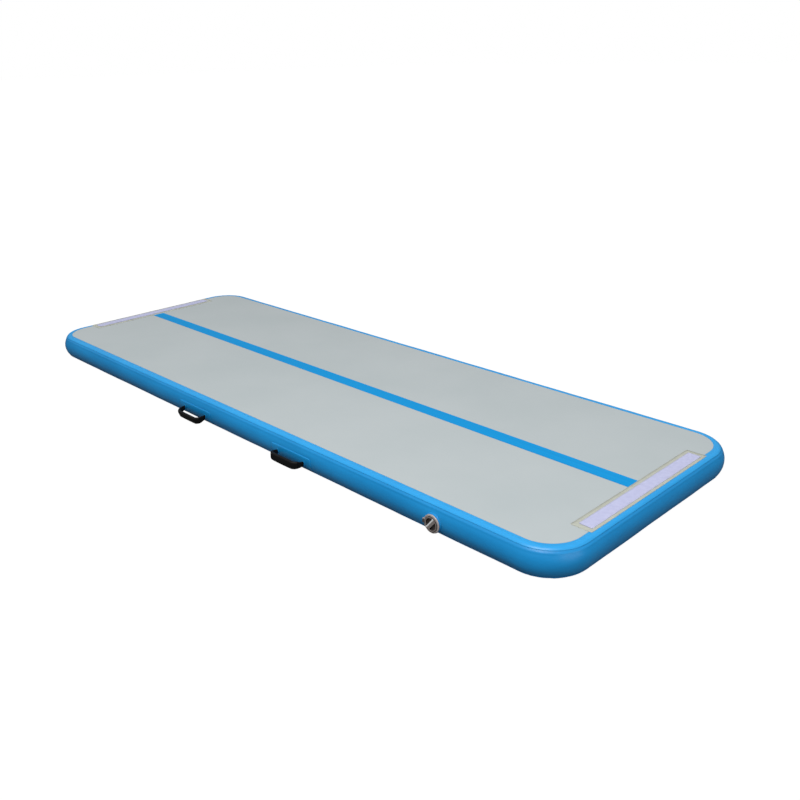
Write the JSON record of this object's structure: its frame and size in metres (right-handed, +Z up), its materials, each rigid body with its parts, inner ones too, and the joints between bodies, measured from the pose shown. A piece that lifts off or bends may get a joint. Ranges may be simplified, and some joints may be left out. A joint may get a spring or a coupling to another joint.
{
  "type": "air track mat",
  "caption": "Long inflatable tumbling mat with flat drop-stitch faces, bulged side walls, a centre line, hook-and-loop end pads, side carry handles and a push valve with a tethered cap.",
  "frame": {"origin": "on the floor under the middle of the mat", "axes": "+X along the mat towards the valve's end, +Y across it away from the valve's side, +Z up"},
  "size_m": [3, 1.129, 0.1022],
  "materials": {
    "face_vinyl": "semi-matt embossed PVC coating, light grey",
    "wall_vinyl": "smooth PVC, bright blue, soft sheen",
    "stripe_print": "blue print on PVC",
    "pad_cloth": "coated cloth, warm grey",
    "hook_and_loop": "pale lilac-grey loop pile",
    "base_cloth": "woven polyester",
    "yarn": "polyester yarn",
    "webbing": "black polyester webbing",
    "grip_foam": "black padded sleeve, matt",
    "valve_plastic": "light grey nylon",
    "cap_plastic": "grey nylon",
    "inner_plastic": "dark grey nylon",
    "seal_rubber": "soft black rubber",
    "spring_steel": "stainless spring wire"
  },
  "bodies": {
    "mat": {"top_sheet": "face_vinyl", "bottom_sheet": "face_vinyl", "top_base_cloth": "base_cloth", "bottom_base_cloth": "base_cloth", "drop_stitch_yarns": "yarn", "side_wall": "wall_vinyl", "top_edge_tape": "wall_vinyl", "bottom_edge_tape": "wall_vinyl", "top_seam_tape": "wall_vinyl", "bottom_seam_tape": "wall_vinyl", "wall_joint_patch": "wall_vinyl", "centre_stripe": "stripe_print", "pad_backing_right": "pad_cloth", "pad_backing_left": "pad_cloth", "fastener_strip_right": "hook_and_loop", "fastener_strip_left": "hook_and_loop", "valve_patch": "wall_vinyl", "valve_boot": "wall_vinyl", "valve_gasket": "seal_rubber", "valve_backing_ring": "inner_plastic", "tether_anchor": "valve_plastic", "valve_housing": "valve_plastic", "valve_lock_nut": "inner_plastic", "valve_stem_guide": "inner_plastic", "valve_spring": "spring_steel", "handle_near_left_anchors": "webbing", "handle_near_left_patch": "wall_vinyl", "handle_near_right_anchors": "webbing", "handle_near_right_patch": "wall_vinyl", "handle_far_left_anchors": "webbing", "handle_far_left_patch": "wall_vinyl", "handle_far_right_anchors": "webbing", "handle_far_right_patch": "wall_vinyl"},
    "handle_near_left": {"handle_near_left_strap": "webbing", "handle_near_left_grip": "grip_foam"},
    "handle_near_right": {"handle_near_right_strap": "webbing", "handle_near_right_grip": "grip_foam"},
    "handle_far_left": {"handle_far_left_strap": "webbing", "handle_far_left_grip": "grip_foam"},
    "handle_far_right": {"handle_far_right_strap": "webbing", "handle_far_right_grip": "grip_foam"},
    "tether": {"valve_tether": "cap_plastic"},
    "cap": {"valve_cap": "cap_plastic", "valve_cap_seal": "seal_rubber"},
    "guide_bush": {"valve_guide_bush": "inner_plastic"},
    "stem": {"valve_stem": "inner_plastic", "valve_button": "valve_plastic", "valve_seal_disc": "seal_rubber", "valve_stem_clip": "inner_plastic"}
  },
  "joints": [
    {"name": "handle_near_left_flex", "type": "hinge", "parent": "mat", "child": "handle_near_left", "pos_m": [-0.243, -0.526, 0.036], "axis": [-1, 0, 0], "range_deg": [-18, 82], "stiffness_Nm_per_rad": 0.4, "springref_deg": 2.21},
    {"name": "handle_near_right_flex", "type": "hinge", "parent": "mat", "child": "handle_near_right", "pos_m": [0.364, -0.526, 0.036], "axis": [-1, 0, 0], "range_deg": [-41, 59], "stiffness_Nm_per_rad": 0.4, "springref_deg": 2.34},
    {"name": "handle_far_left_flex", "type": "hinge", "parent": "mat", "child": "handle_far_left", "pos_m": [-0.364, 0.526, 0.036], "axis": [1, 0, 0], "range_deg": [-83, 17], "stiffness_Nm_per_rad": 0.4, "springref_deg": 1.66},
    {"name": "handle_far_right_flex", "type": "hinge", "parent": "mat", "child": "handle_far_right", "pos_m": [0.243, 0.526, 0.036], "axis": [1, 0, 0], "range_deg": [-35, 65], "stiffness_Nm_per_rad": 0.4, "springref_deg": 2.34},
    {"name": "cap_swing", "type": "hinge", "parent": "mat", "child": "tether", "pos_m": [1.009, -0.523, 0.041], "axis": [0, 0, -1], "range_deg": [0, 108]},
    {"name": "cap_turn", "type": "hinge", "parent": "tether", "child": "cap", "pos_m": [1.043, -0.526, 0.041], "axis": [0, -1, 0], "range_deg": [0, 90]},
    {"name": "stem_turn", "type": "hinge", "parent": "mat", "child": "guide_bush", "pos_m": [1.043, -0.495, 0.041], "axis": [0, -1, 0], "range_deg": [0, 90]},
    {"name": "stem_push", "type": "slide", "parent": "guide_bush", "child": "stem", "axis": [0, 1, 0], "range_m": [0, 0.006], "stiffness_N_per_m": 150, "springref_m": -0.01, "deforming": ["valve_spring"]}
  ]
}
